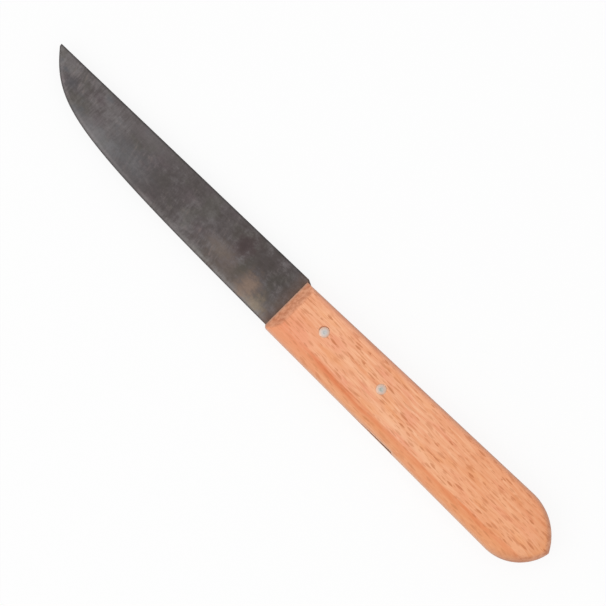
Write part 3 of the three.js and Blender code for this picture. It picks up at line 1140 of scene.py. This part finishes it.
@dataclass
class Handle:
    """The one-piece beech handle: a tapering bar with a pointed butt, sawn from the front for the tang."""

    layout: Layout
    front_height: float = 18.28 * MM
    flare: float = math.radians(1.95)
    point_height: float = 12.05 * MM
    lower_radius: float = 14.4 * MM
    upper_radius: float = 17 * MM
    point_radius: float = 0.5 * MM
    chamfer: float = 3.2 * MM
    arris: float = 0.7 * MM
    belly_width: float = 4.3 * MM
    belly_depth: float = 5 * MM
    belly_slope: float = 0.3
    spine_width: float = 1.8 * MM
    spine_depth: float = 3 * MM
    butt_width: float = 2 * MM
    butt_depth: float = 3 * MM
    slot_clearance: float = 0.05 * MM
    slot_end_gap: float = 0.3 * MM
    hole_clearance: float = 0.03 * MM
    chip_shift: float = 0.24 * MM
    chip_depth: float = 0.6 * MM
    corner: float = 0.8 * MM
    corner_reach: float = 1.1 * MM
    lip: float = 0.68 * MM
    lip_reach: float = 24 * MM
    sharp: float = math.radians(32)

    # How many points the rings have, and where along the sides they lie closer
    levels: int = 22
    columns: int = 12
    close_share: float = 0.055
    close_steps: int = 52
    side_steps: int = 90
    arc_steps: int = 40
    point_steps: int = 7

    @property
    def length(self) -> float:
        """From the front of the wood to the point of the butt."""
        return self.layout.wood_front - self.layout.butt

    def insets(self, below: np.ndarray) -> tuple[np.ndarray, np.ndarray, np.ndarray]:
        """How far the rounded edges draw the outline in.

        Args:
            below: Depths below the flat side.

        Returns:
            The insets of the belly, the spine and the butt at each depth.
        """
        crease = self.belly_width * self.belly_slope
        root = np.sqrt(crease**2 + (self.belly_depth - 2 * crease) * below)
        belly = self.belly_width * (1 - np.minimum(below / (crease + root), 1)) ** 2

        def quarter(width: float, depth: float) -> np.ndarray:
            """Inset of an elliptic round of that width and depth."""
            rest = np.maximum(1 - below / depth, 0)
            return width * (1 - np.sqrt(1 - rest**2))

        return belly, quarter(self.spine_width, self.spine_depth), quarter(self.butt_width, self.butt_depth)

    def sides(self, below: np.ndarray) -> tuple[np.ndarray, np.ndarray]:
        """Draws the outline at each depth, from the front along the belly and along the spine to the point.

        Args:
            below: Depths below the flat side.

        Returns:
            The belly's side and the spine's side, as along and height for each depth and step.
        """
        lean = np.array([math.sin(self.flare), math.cos(self.flare)])
        point = np.array([-self.length, self.point_height])
        fall = self.lower_radius - self.point_height
        lower = np.array([point[0] + math.sqrt(self.lower_radius**2 - fall**2), self.lower_radius])
        rise = (np.array([0, self.front_height]) - point) @ lean
        back = math.sqrt(self.upper_radius**2 - (self.upper_radius - rise) ** 2)
        upper = point + lean * (rise - self.upper_radius) + np.array([lean[1], -lean[0]]) * back

        close = np.linspace(0, self.close_share, self.close_steps, endpoint=False)
        run = np.concatenate([close, np.linspace(self.close_share, 1, self.side_steps, endpoint=False)])
        blunt = self.corner * np.clip(1 + run * lower[0] / self.corner_reach, 0, 1) ** 2
        turn = np.linspace(0, 1, self.arc_steps, endpoint=False)
        ease = turn**2 * (3 - 2 * turn)
        tips = np.linspace(0, 1, self.point_steps)
        lower_start = 1.5 * math.pi
        upper_start = math.pi / 2 - self.flare
        belly_side = []
        spine_side = []
        for belly, spine, butt in zip(*self.insets(below)):
            inset = butt + self.point_radius
            corner = self.crossing(lower, self.lower_radius - inset, upper, self.upper_radius - inset)
            lower_end = math.atan2(*(corner - lower)[::-1]) + 2 * math.pi
            upper_end = math.atan2(*(corner - upper)[::-1])
            halfway = (lower_end + upper_end) / 2
            radius = self.lower_radius - belly + (belly - butt) * ease
            belly_side.append(np.concatenate([
                np.stack([run * lower[0], belly + blunt], axis=1),
                self.arc(lower, radius, lower_start + (lower_end - lower_start) * turn),
                self.arc(corner, self.point_radius, lower_end + (halfway - lower_end) * tips),
            ]))
            top = upper + lean * (self.upper_radius - spine)
            front = np.array([0, self.front_height - spine / lean[1]])
            radius = self.upper_radius - spine + (spine - butt) * ease
            spine_side.append(np.concatenate([
                front + run[:, None] * (top - front),
                self.arc(upper, radius, upper_start + (upper_end - upper_start) * turn),
                self.arc(corner, self.point_radius, upper_end + (halfway - upper_end) * tips),
            ]))
        return np.array(belly_side), np.array(spine_side)

    @staticmethod
    def arc(centre: np.ndarray, radius: Union[float, np.ndarray], angles: np.ndarray) -> np.ndarray:
        """Points around a centre at those angles, one row each."""
        return centre + np.stack([radius * np.cos(angles), radius * np.sin(angles)], axis=1)

    @staticmethod
    def crossing(
        first: np.ndarray, first_radius: float, second: np.ndarray, second_radius: float
    ) -> np.ndarray:
        """Finds where two circles cross, at the rear.

        Args:
            first: Centre of one circle.
            first_radius: Its radius.
            second: Centre of the other circle.
            second_radius: Its radius.

        Returns:
            The rearward one of the two points.
        """
        gap = second - first
        distance = np.linalg.norm(gap)
        along = (first_radius**2 - second_radius**2 + distance**2) / (2 * distance)
        aside = math.sqrt(first_radius**2 - along**2)
        gap = gap / distance
        square = np.array([-gap[1], gap[0]])
        return first + gap * along + square * math.copysign(aside, -square[0])

    def blank(self) -> bpy.types.Mesh:
        """Shapes the bar before it is sawn and drilled: rings of points from the front to the point.

        Returns:
            A closed mesh.
        """
        below = self.belly_depth * np.linspace(0, 1, self.levels + 1) ** 2
        belly, spine = self.sides(below)
        share = np.linspace(0, 1, self.columns + 1)[1:-1, None, None]
        flat = belly[0] + share * (spine[0] - belly[0])
        section = np.concatenate([belly[::-1], flat, spine])
        drop = np.concatenate([below[::-1], np.zeros(self.columns - 1), below])
        level = self.chamfered(section[..., 0], self.layout.thickness - drop[:, None])

        along = self.layout.wood_front + section[..., 0]
        aside = self.layout.belly - section[..., 1]
        deep = np.concatenate([below[::-1] / self.belly_depth, np.zeros(len(drop) - len(below))])
        bared = aside - self.worn(section[..., 0], deep[:, None])
        upper = np.stack([along, bared, self.layout.side + level], axis=2)
        lower = np.stack([along, aside, self.layout.side + self.layout.thickness - level], axis=2)
        rings = np.concatenate([upper, lower[::-1]]).transpose(1, 0, 2)
        count = rings.shape[1]
        faces = [tuple(range(count))]
        for start in range(0, (len(rings) - 1) * count, count):
            for i in range(count):
                a = start + i
                b = start + (i + 1) % count
                faces.append((a, a + count, b + count, b))
        mesh = mesh_of("handle_blank", rings.reshape(-1, 3), [], faces)
        weld(mesh)
        return mesh

    def worn(self, along: np.ndarray, deep: np.ndarray) -> np.ndarray:
        """Wears the upper cheek's belly back beside the rear of the tang, which bares a line of steel.

        Args:
            along: Places behind the front of the wood, below 0.
            deep: 1 where the belly meets the slot, 0 off the belly.

        Returns:
            How far the wood is worn back.
        """
        ahead = along + self.layout.wood_front - self.layout.tang_end + self.slot_end_gap
        fade = np.clip(1 - ahead / self.lip_reach, 0, 1)
        return self.lip * deep**2 * fade * (ahead > 0)

    def chamfered(self, along: np.ndarray, level: np.ndarray) -> np.ndarray:
        """Cuts the level of the upper side down to the chamfer at the front, with an eased arris.

        Args:
            along: Places behind the front of the wood, below 0.
            level: Levels above the lower flat side.

        Returns:
            The cut levels.
        """
        slope = self.layout.thickness - self.chamfer - along
        share = np.clip(0.5 + 0.5 * (slope - level) / self.arris, 0, 1)
        return slope + (level - slope) * share - self.arris * share * (1 - share)

    def joinery(self) -> ShapeGraph:
        """Writes the tree that saws the slot and drills the pin holes.

        Returns:
            The tree with its sizes.
        """
        layout = self.layout
        slot_length = layout.wood_front - layout.tang_end + self.slot_end_gap
        slot_width = layout.steel + 2 * self.slot_clearance
        chip = Vector((self.chip_shift, -self.chip_shift, layout.thickness / 2))
        graph = ShapeGraph("Sawn and drilled handle", {
            **layout.pins,
            "Hole Radius": layout.pin_head + self.hole_clearance,
            "Hole Depth": 2 * layout.thickness,
            "Slot Size": Vector((2 * slot_length, 4 * self.front_height, slot_width)),
            "Slot Middle": Vector((layout.wood_front, layout.belly, layout.middle)),
            "Chip Middle": layout.front_pin + chip,
            "Chip Depth": 2 * self.chip_depth,
        })
        size = graph.size
        slot = graph.field("GeometryNodeMeshCube", {"Size": size("Slot Size")})
        graph.end(graph.cut(
            size("Geometry"),
            graph.moved(slot, size("Slot Middle")),
            graph.at_pins(graph.drill(size("Hole Depth"))),
            graph.moved(graph.drill(size("Chip Depth")), size("Chip Middle")),
        ))
        return graph

    def build(self, finish: bpy.types.Material) -> bpy.types.Object:
        """Makes the handle.

        Args:
            finish: Its wood.

        Returns:
            The piece.
        """
        piece = self.joinery().grow("beech_handle", self.blank(), finish, self.sharp)
        normals = np.empty(3 * len(piece.data.loops), np.float32)
        piece.data.corner_normals.foreach_get("vector", normals)
        for mark, axis in ((Mark.END_GRAIN, 0), (Mark.FLAT_SIDE, 2)):
            facing = piece.data.attributes.new(mark.value, "FLOAT", "CORNER")
            facing.data.foreach_set("value", np.abs(normals[axis::3]))
        return piece


@dataclass
class Blade:
    """The blade and its half tang: a wedge section that follows the cutting edge to the tip."""

    layout: Layout
    handle: Handle
    heel_height: float = 18.3 * MM
    edge_rise: float = 0.9 * MM
    spine_drop: float = 2.4 * MM
    edge_straight: float = 2 * MM
    edge_sweep: float = 77.3 * MM
    tip_sweep: float = 17.6 * MM
    tip_angle: float = math.radians(50.6)
    tip_blunt: float = 0.75 * MM
    tip_steel: float = 0.8 * MM
    bevel_height: float = 1.2 * MM
    bevel_steel: float = 0.45 * MM
    edge_steel: float = 0.1 * MM
    spine_ease: float = 0.22 * MM
    plunge: float = 4 * MM
    shoulder_lead: float = 0.3 * MM
    shoulder_reach: float = 2.4 * MM
    tang_sink: float = 0.4 * MM
    tang_inset: float = 0.2 * MM
    hole_radius: float = 1.58 * MM
    sharp: float = math.radians(40)

    # How many points each stretch of the edge has
    tang_steps: int = 24
    plunge_steps: int = 4
    shoulder_steps: int = 8
    heel_steps: int = 6
    edge_steps: int = 170

    # Points of the section between which lie its edge, bevel, side, eased corner and spine
    section: tuple[int, ...] = (0, 1, 9, 48, 57, 60)

    @property
    def length(self) -> float:
        """From the front of the wood to the tip."""
        return self.layout.tip - self.layout.wood_front

    @property
    def spine_height(self) -> float:
        """Of the spine above the belly line, at the front of the wood."""
        return self.edge_rise + self.heel_height

    def edge_line(self) -> bpy.types.Mesh:
        """Draws the lower line of tang and blade, from the tang's end to the tip.

        Returns:
            A line of points on the middle plane.
        """
        tang = self.layout.wood_front - self.layout.tang_end
        stops = (-tang, -self.plunge, -self.shoulder_reach, self.shoulder_lead, self.edge_straight)
        steps = (self.tang_steps, self.plunge_steps, self.shoulder_steps, self.heel_steps)
        straight = np.concatenate([
            np.linspace(start, end, count, endpoint=False)
            for start, end, count in zip(stops, stops[1:], steps)
        ])
        to_front = 1 + np.minimum(straight, 0) / tang
        low = self.tang_inset + (self.edge_rise - self.tang_inset) * to_front**2
        tip = np.array([self.length, self.spine_height - self.spine_drop - self.tip_blunt])
        lean = np.array([math.cos(self.tip_angle), math.sin(self.tip_angle)])
        start = np.array([self.edge_straight, self.edge_rise])
        controls = [start, start + np.array([self.edge_sweep, 0]), tip - lean * self.tip_sweep, tip]
        share = np.linspace(0, 1, self.edge_steps)[:, None]
        curve = sum(
            math.comb(3, i) * share**i * (1 - share) ** (3 - i) * point for i, point in enumerate(controls)
        )
        line = np.concatenate([np.stack([straight, low], axis=1), curve])
        points = np.stack([
            self.layout.wood_front + line[:, 0],
            self.layout.belly - line[:, 1],
            np.full(len(line), self.layout.middle),
        ], axis=1)
        return mesh_of("edge_line", points, [(i, i + 1) for i in range(len(points) - 1)], [])

    def shape(self) -> ShapeGraph:
        """Writes the tree that raises the wedge section over the edge line.

        Returns:
            The tree with its sizes.
        """
        layout = self.layout
        last = self.section[-1]
        graph = ShapeGraph("Blade over its edge line", {
            **layout.pins,
            "Hole Radius": self.hole_radius,
            "Hole Depth": 2 * layout.steel,
            "Wood Front": layout.wood_front,
            "Belly": layout.belly,
            "Middle": layout.middle,
            "Blade Length": self.length,
            "Spine Height": self.spine_height,
            "Spine Drop": self.spine_drop,
            "Wood Height": self.handle.front_height,
            "Wood Rise": math.tan(self.handle.flare),
            "Tang Sink": self.tang_sink,
            "Shoulder Lead": self.shoulder_lead,
            "Shoulder Reach": self.shoulder_reach,
            "Plunge": self.plunge,
            "Steel": layout.steel,
            "Tip Steel": self.tip_steel,
            "Bevel Height": self.bevel_height,
            "Bevel Steel": self.bevel_steel,
            "Edge Steel": self.edge_steel,
            "Spine Ease": self.spine_ease,
            "Section Points": last + 1,
        })
        size = graph.size
        edge_line = size("Geometry")
        count = graph.field("GeometryNodeAttributeDomainSize", {"Geometry": edge_line}, "Point Count")
        sheet, u, v = graph.sheet(count + 2, size("Section Points"))
        station = graph.math("ROUND", (u + 0.5) * (count + 1)) - 1
        position = graph.field("GeometryNodeInputPosition")
        sampled = {"Geometry": edge_line, "Value": position, "Index": station}
        x, y, _ = graph.split(
            graph.field("GeometryNodeSampleIndex", sampled, data_type="FLOAT_VECTOR", clamp=True)
        )
        along = x - size("Wood Front")
        low = size("Belly") - y

        to_tip = along / size("Blade Length")
        spine = size("Spine Height") - size("Spine Drop") * to_tip
        tang = size("Wood Height") - along * size("Wood Rise") - size("Tang Sink")
        shoulder = graph.rise(along, 0 - size("Shoulder Reach"), size("Shoulder Lead"), False)
        top = graph.between(shoulder, tang, spine)
        half = graph.between(graph.rise(to_tip, 0, 1, False), size("Steel"), size("Tip Steel")) / 2
        ground = graph.rise(along / size("Plunge"), -1, 0, False)
        bevel = graph.between(ground, half, size("Bevel Steel") / 2)
        edge = graph.between(ground, half, size("Edge Steel") / 2)
        bevel_rise = graph.math("MINIMUM", size("Bevel Height"), (top - low) / 2)
        ease = graph.math("MINIMUM", size("Spine Ease"), (top - low - bevel_rise) / 2)

        across = v + 0.5
        flat_edge, up_bevel, up_side, over, home = (
            graph.rise(across, start / last, end / last, False)
            for start, end in zip(self.section, self.section[1:])
        )
        turn = over * (math.pi / 2)
        height = low + up_bevel * bevel_rise + up_side * (top - low - bevel_rise - ease)
        height = height + graph.math("SINE", turn) * ease
        side = flat_edge * edge + up_bevel * (bevel - edge) + up_side * (half - bevel)
        side = side - (1 - graph.math("COSINE", turn)) * ease - home * (half - ease)
        inner = graph.math("LESS_THAN", abs(station - (count - 1) / 2), count / 2)
        side = side * inner

        sheet = graph.marked(sheet, Mark.FROM_EDGE, (height - low) / MM)
        sheet = graph.marked(sheet, Mark.FROM_SPINE, (top - height) / MM)
        levels = (size("Middle") + side, size("Middle") - side)
        upper, lower = (graph.join(x, size("Belly") - height, level) for level in levels)
        holes = graph.at_pins(graph.drill(size("Hole Depth")))
        graph.end(graph.cut(graph.halved(sheet, upper, lower), holes))
        return graph

    def build(self, finish: bpy.types.Material) -> bpy.types.Object:
        """Makes the blade, of that steel."""
        return self.shape().grow("steel_blade", self.edge_line(), finish, self.sharp)


@dataclass
class Pins:
    """The two pins through wood and tang, with their ends spread and domed."""

    layout: Layout
    shank: float = 1.5 * MM
    head_depth: float = 0.8 * MM
    crown: float = 0.1 * MM
    dimple: float = 0.5 * MM
    dimple_depth: float = 0.05 * MM
    sharp: float = math.radians(40)
    side_points: int = 97
    profile_points: int = 49

    def shape(self) -> ShapeGraph:
        """Writes the tree that turns one pin and sets it at each place.

        Returns:
            The tree with its sizes.
        """
        layout = self.layout
        graph = ShapeGraph("Pins", {
            **layout.pins,
            "Head": layout.pin_head,
            "Shank": self.shank,
            "Head Depth": self.head_depth,
            "Rim": layout.pin_reach - self.crown,
            "Crown": self.crown,
            "Dimple": self.dimple,
            "Dimple Depth": self.dimple_depth,
            "Side Points": self.side_points,
            "Profile Points": self.profile_points,
        })
        size = graph.size
        sheet, u, v = graph.sheet(size("Side Points"), size("Profile Points"))
        turn = (u + 0.5) * (2 * math.pi)
        out = graph.rise(v, -0.5, 0.0, False)
        down = graph.rise(v, 0.0, 0.5, False)
        dent = graph.rise(out * size("Head"), size("Dimple"), 0.0)
        level = size("Rim") + size("Crown") * (1 - out * out) - dent * size("Dimple Depth")
        level = level * (1 - down)
        swell = graph.rise(level, size("Rim") - size("Head Depth"), size("Rim"))
        radius = out * graph.between(swell, size("Shank"), size("Head"))
        sheet = graph.marked(sheet, Mark.FROM_AXIS, radius / MM)
        x = radius * graph.math("COSINE", turn)
        y = radius * graph.math("SINE", turn)
        pin = graph.halved(sheet, graph.join(x, y, level), graph.join(x, y, 0 - level))
        graph.end(graph.at_pins(pin))
        return graph

    def build(self, finish: bpy.types.Material) -> bpy.types.Object:
        """Makes both pins, of that metal."""
        return self.shape().grow("pins", bpy.data.meshes.new("pin_places"), finish, self.sharp)


@dataclass(frozen=True)
class Lamp:
    """A square soft lamp that shines on the knife.

    Attributes:
        name: Name of the lamp.
        direction: From the knife to the lamp.
        distance: How far it is.
        size: Its side.
        share: How bright it makes white paper on the floor, where 1 is white.
        mirrored: Whether shiny surfaces show it.
    """

    name: str
    direction: Lengths
    distance: float
    size: float
    share: float
    mirrored: bool = True

    def build(self) -> None:
        """Hangs the lamp."""
        towards = Vector(self.direction).normalized()
        light = bpy.data.lights.new(self.name, "AREA")
        light.size = self.size
        light.energy = self.share * (math.pi * self.distance) ** 2 / towards.z
        lamp = bpy.data.objects.new(self.name, light)
        lamp.location = towards * self.distance
        lamp.rotation_euler = towards.to_track_quat("Z", "Y").to_euler()
        lamp.visible_camera = False
        lamp.visible_glossy = self.mirrored
        bpy.context.scene.collection.objects.link(lamp)


@dataclass
class Studio:
    """Pale floor, soft light and a camera that looks straight down on the knife."""

    layout: Layout
    view_width: float = 176.9 * MM
    aim_behind: float = 3.3 * MM
    aim_height: float = 13.09 * MM
    lens: float = 300.0
    sensor: float = 36.0
    floor_size: float = 8.0
    world_light: float = 0.58
    lamps: tuple[Lamp, ...] = (
        Lamp("key_light", direction=(0.25, 0.5, 1.0), distance=0.9, size=0.5, share=0.12),
        Lamp("top_light", direction=(0.0, 0.0, 1.0), distance=1.1, size=0.9, share=0.32, mirrored=False),
    )

    def build(self) -> None:
        """Sets up floor, light and camera."""
        self.floor()
        self.world()
        for lamp in self.lamps:
            lamp.build()
        self.camera()
        bpy.context.scene.view_settings.view_transform = "Standard"

    def floor(self) -> None:
        """Lays the floor at the frame's zero, where the knife rests on its pins."""
        half = self.floor_size / 2
        points = np.array([(-half, -half, 0), (half, -half, 0), (half, half, 0), (-half, half, 0)])
        floor = bpy.data.objects.new("floor", mesh_of("floor", points, [], [(0, 1, 2, 3)]))
        floor.data.materials.append(PaleFloor().build())
        bpy.context.scene.collection.objects.link(floor)

    def world(self) -> None:
        """Makes the even light around the knife, and white where the camera sees it."""
        world = bpy.data.worlds.new("studio")
        bpy.context.scene.world = world
        world.use_nodes = True
        graph = Graph(world.node_tree)
        background = world.node_tree.nodes["Background"]
        graph.put(background.inputs["Color"], WHITE)
        strength = graph.between(graph.seen_directly(), self.world_light, 1.0)
        graph.put(background.inputs["Strength"], strength)

    def camera(self) -> None:
        """Hangs the camera over the knife, turned so that the tip is at the upper left."""
        data = bpy.data.cameras.new("camera")
        data.lens = self.lens
        data.sensor_width = self.sensor
        camera = bpy.data.objects.new("camera", data)
        slant = math.sqrt(0.5)
        right = Vector((-slant, -slant, 0))
        up = Vector((slant, -slant, 0))
        turn = Matrix((right, up, right.cross(up))).transposed().to_4x4()
        distance = self.view_width * self.lens / self.sensor
        x = self.layout.wood_front - self.aim_behind
        y = self.layout.belly - self.aim_height
        place = Vector((x, y, self.layout.middle + distance))
        camera.matrix_world = Matrix.Translation(place) @ turn
        bpy.context.scene.collection.objects.link(camera)
        bpy.context.scene.camera = camera


def main() -> None:
    """Builds the knife piece by piece, then the studio around it."""
    logging.basicConfig(level=logging.INFO, format="%(message)s")
    log = logging.getLogger("knife")
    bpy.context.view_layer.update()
    layout = Layout.from_frame()
    handle = Handle(layout)
    blade = Blade(layout, handle)
    pieces = (
        (blade.build(PatinaSteel(layout).build()), Slot.STEEL, (Node.BLADE,)),
        (handle.build(SteamedBeech(layout).build()), Slot.BEECH, (Node.HANDLE,)),
        (Pins(layout).build(PeenedAluminium(layout).build()), Slot.PIN, PIN_NODES),
    )
    for piece, slot, nodes in pieces:
        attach(piece, "root")
        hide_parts(*(node.value for node in nodes))
        faces = len(piece.data.polygons)
        log.info("%s: %d faces, for %d of %d solids", piece.name, faces, len(nodes), len(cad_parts))
    Studio(layout).build()


if __name__ == "__main__":
    main()
